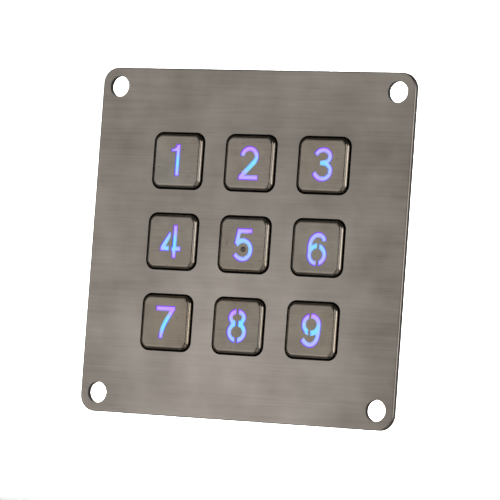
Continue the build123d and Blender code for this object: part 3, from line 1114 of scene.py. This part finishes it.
def both_ends(low, high, shrink_x, shrink_z):
    """A block at one end of the chip and its mirror image at the other."""
    far_low, far_high = (*low[:2], -high[2]), (*high[:2], -low[2])
    return [(low, high, shrink_x, shrink_z), (far_low, far_high, shrink_x, shrink_z)]


solder = tinned("reflowed_solder", "#a9abab", "#cfd0ce")
overglaze = moulded_nylon("black_overglaze", "#101012", "#1b1b1d", 0.2 * MM)
alumina = moulded_nylon("white_alumina", "#d5d3cb", "#e4e2da", 0.12 * MM)
ends = both_ends((-0.625, 5.82, 0.62), (0.625, 6.26, 1.0), 0, 0)
wetted_pads = both_ends((-0.68, 5.79, 0.6), (0.68, 5.88, 1.35), 0.06, 0.06)
fillets = both_ends((-0.6, 5.82, 0.7), (0.6, 6.1, 1.25), 0.1, 0.5)
resistor_layers = (
    ("resistor_bodies", alumina, [((-0.6, 5.84, -0.98), (0.6, 6.22, 0.98), 0, 0)]),
    ("resistor_glaze", overglaze, [((-0.57, 6.2, -0.6), (0.57, 6.27, 0.6), 0.04, 0.06)]),
    ("resistor_ends", solder, ends),
    ("resistor_fillets", solder, wetted_pads + fillets),
)
for name, material, parts in resistor_layers:
    layer = blocks(name, parts, RESISTOR_EASE, material)
    spread_copies(layer, material, RESISTOR_PLACES)
    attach(layer, "root")
    if name == "resistor_bodies":
        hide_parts("resistors")


# Cable header
# Straight shroud for a crimped plug, moulded in natural nylon, with two slots in its upper wall
# for the plug's ribs. It stands on the board's rear, held by its pins.
HEADER_EASE = 0.12 * MM
natural_nylon = moulded_nylon("natural_nylon", "#d9d2bf", "#e6e0cf", 0.25 * MM)
header = eased_copy("cable_header", "nylon_header", HEADER_EASE, natural_nylon)
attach(header, "root")
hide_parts("cable_header")


# Header pins
# Eight square brass pins, tin plated, through the header's floor and the board. Their tips are
# chamfered to lead the plug on.
PIN_EASE = 0.1 * MM
tin_plate = tinned("tin_plated_brass", "#b9b6ab", "#d6d3c8")
pins = eased_copy("header_pins", "tinned_pins", PIN_EASE, tin_plate)
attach(pins, "root")
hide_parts("header_pins")


# Insulating film
# Die-cut black polyester, 0.2 mm, between the board and the back plate, kept as the frame has it.
def polyester_film():
    """Matt-one-side polyester: near black with a soft sheen and faint rolling haze."""
    material, tree, shader = new_material("black_polyester_film", IOR=1.6)
    haze = blotches(tree, 4 * MM)
    wire(
        tree,
        shader,
        Base_Color=two_tone(tree, haze, "#121316", "#1d1f23"),
        Roughness=spread(tree, haze, 0.3, 0.45),
    )
    return material


dress("insulating_film", polyester_film())


# Back plate
# Electro-galvanised steel, 1.2 mm, punched: it clamps the stack against the face plate under
# the eight nuts. Its faces keep the cold-rolled sheet's fine grain from side to side.
BACK_EASE = 0.1 * MM


def galvanised_sheet():
    """Electro-galvanised cold-rolled steel: cool grey, satin, with a quiet rolled grain."""
    material, tree, shader = new_material("electro_galvanised_sheet", Metallic=1.0)
    rolled = grain(tree, 18 * MM, 0.35 * MM)
    cloud = blotches(tree, 7 * MM)
    tone = add(tree, "ShaderNodeMix", {"Factor": 0.55, "A": rolled, "B": cloud}).outputs["Result"]
    bump = add(tree, "ShaderNodeBump", {"Height": rolled, "Strength": 0.2, "Distance": 0.012 * MM})
    wire(
        tree,
        shader,
        Base_Color=two_tone(tree, tone, "#8d9092", "#aeb1b2"),
        Roughness=spread(tree, tone, 0.34, 0.5),
        Normal=bump.outputs["Normal"],
    )
    return material


back = eased_copy("back_plate", "galvanised_back_plate", BACK_EASE, galvanised_sheet(), cut_edge())
dress_walls(back.data, 1)
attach(back, "root")
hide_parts("back_plate")


# Floor and backdrop
# One white sweep of matt studio paper, flat under the keypad and rising behind it in a broad
# curve, so that no line shows where the floor ends.
FLOOR_HEIGHT = -75 * MM
SWEEP_RADIUS = 0.8
SWEEP_START = 1.6
SWEEP_HALF_WIDTH = 4.0
FLOOR_FRONT = -3.0
SWEEP_TOP = 4.0
SWEEP_STEPS = 16


def sweep_paper():
    """Matt white background paper."""
    material, tree, shader = new_material("matt_background_paper", Roughness=0.9)
    fibres = blotches(tree, 2 * MM)
    wire(tree, shader, Base_Color=two_tone(tree, fibres, "#f4f4f3", "#f8f8f8"))
    return material


profile = [(FLOOR_FRONT, FLOOR_HEIGHT), (SWEEP_START, FLOOR_HEIGHT)]
for step in range(1, SWEEP_STEPS + 1):
    angle = math.radians(90 * step / SWEEP_STEPS)
    profile.append(
        (
            SWEEP_START + SWEEP_RADIUS * math.sin(angle),
            FLOOR_HEIGHT + SWEEP_RADIUS * (1 - math.cos(angle)),
        )
    )
profile.append((SWEEP_START + SWEEP_RADIUS, SWEEP_TOP))
vertices = [(side * SWEEP_HALF_WIDTH, y, z) for y, z in profile for side in (-1, 1)]
faces = [(2 * i, 2 * i + 1, 2 * i + 3, 2 * i + 2) for i in range(len(profile) - 1)]
sweep_mesh = bpy.data.meshes.new("studio_sweep")
sweep_mesh.from_pydata(vertices, [], faces)
for face in sweep_mesh.polygons:
    face.use_smooth = True
sweep = show(sweep_mesh, "studio_sweep", sweep_paper())


# Lights
# A dark studio whose walls have soft round glows for the metal to reflect: low and broad at the
# front left, narrow and bright at the right. Three soft boxes light the keypad from the lens
# side, the sweep and the floor. The lens itself sees white paper all round.
ROOM_GLOWS = (
    # heading, height, inner, outer (degrees), strength
    (-36, -6, 4, 38, 0.62),
    (-30, 34, 6, 28, 0.32),
    (-30, -40, 6, 32, 0.42),
    (38, 0, 14, 34, 0.34),
    (45, -42, 8, 34, 0.42),
    (88, 2, 16, 26, 2.6),
    (-8, 0, 1, 5, 2.0),
    (180, -6, 28, 66, 0.9),
)
ROOM_DARK = 0.03


def soft_box(name, place, target, size, power, spread_angle=180):
    """A rectangular soft box aimed at a target, with its light kept within the spread angle."""
    data = bpy.data.lights.new(name, "AREA")
    data.spread = math.radians(spread_angle)
    data.shape = "RECTANGLE"
    data.size, data.size_y = size
    data.energy = power
    box = bpy.data.objects.new(name, data)
    box.location = place
    box.rotation_euler = (Vector(target) - Vector(place)).to_track_quat("-Z", "Y").to_euler()
    box.visible_camera = False
    bpy.context.scene.collection.objects.link(box)


def room_glow(tree, heading, height, inner, outer, strength):
    """A soft round patch of light on the room's walls: full within one angle, none past another."""
    heading, height = math.radians(heading), math.radians(height)
    towards = (
        math.sin(heading) * math.cos(height),
        -math.cos(heading) * math.cos(height),
        math.sin(height),
    )
    direction = add(tree, "ShaderNodeTexCoord").outputs["Generated"]
    nearness = add(
        tree, "ShaderNodeVectorMath", {0: direction, 1: towards}, operation="DOT_PRODUCT"
    )
    patch = add(
        tree,
        "ShaderNodeMapRange",
        {
            "Value": nearness.outputs["Value"],
            "From Min": math.cos(math.radians(outer)),
            "From Max": math.cos(math.radians(inner)),
            "To Max": strength,
        },
        interpolation_type="SMOOTHSTEP",
    )
    return patch.outputs["Result"]


soft_box(
    "lens_side_box", place=(0.75, -1.1, 0.35), target=(0, 0, 0), size=(0.5, 0.7), power=1.0
)
soft_box(
    "sweep_box",
    place=(0.3, 0.5, 1.6),
    target=(0, 2.2, 0.2),
    size=(2.0, 1.0),
    power=130.0,
    spread_angle=106,
)
soft_box(
    "floor_box",
    place=(0, -1.4, 1.4),
    target=(0, -1.401, 0),
    size=(2.6, 0.8),
    power=60.0,
    spread_angle=60,
)
sweep.visible_glossy = False
sweep.visible_shadow = False

world = bpy.data.worlds.new("studio")
world.use_nodes = True
room = world.node_tree
light = ROOM_DARK
for glow in ROOM_GLOWS:
    sum_so_far = add(
        room, "ShaderNodeMath", {0: light, 1: room_glow(room, *glow)}, operation="ADD"
    )
    light = sum_so_far.outputs[0]
seen = add(room, "ShaderNodeLightPath").outputs["Is Camera Ray"]
brightness = add(room, "ShaderNodeMix", {"Factor": seen, "A": light, "B": 1.0}).outputs["Result"]
background = room.nodes["Background"]
background.inputs["Color"].default_value = linear("#ffffff")
room.links.new(brightness, background.inputs["Strength"])
bpy.context.scene.world = world
bpy.context.scene.view_settings.view_transform = "Standard"
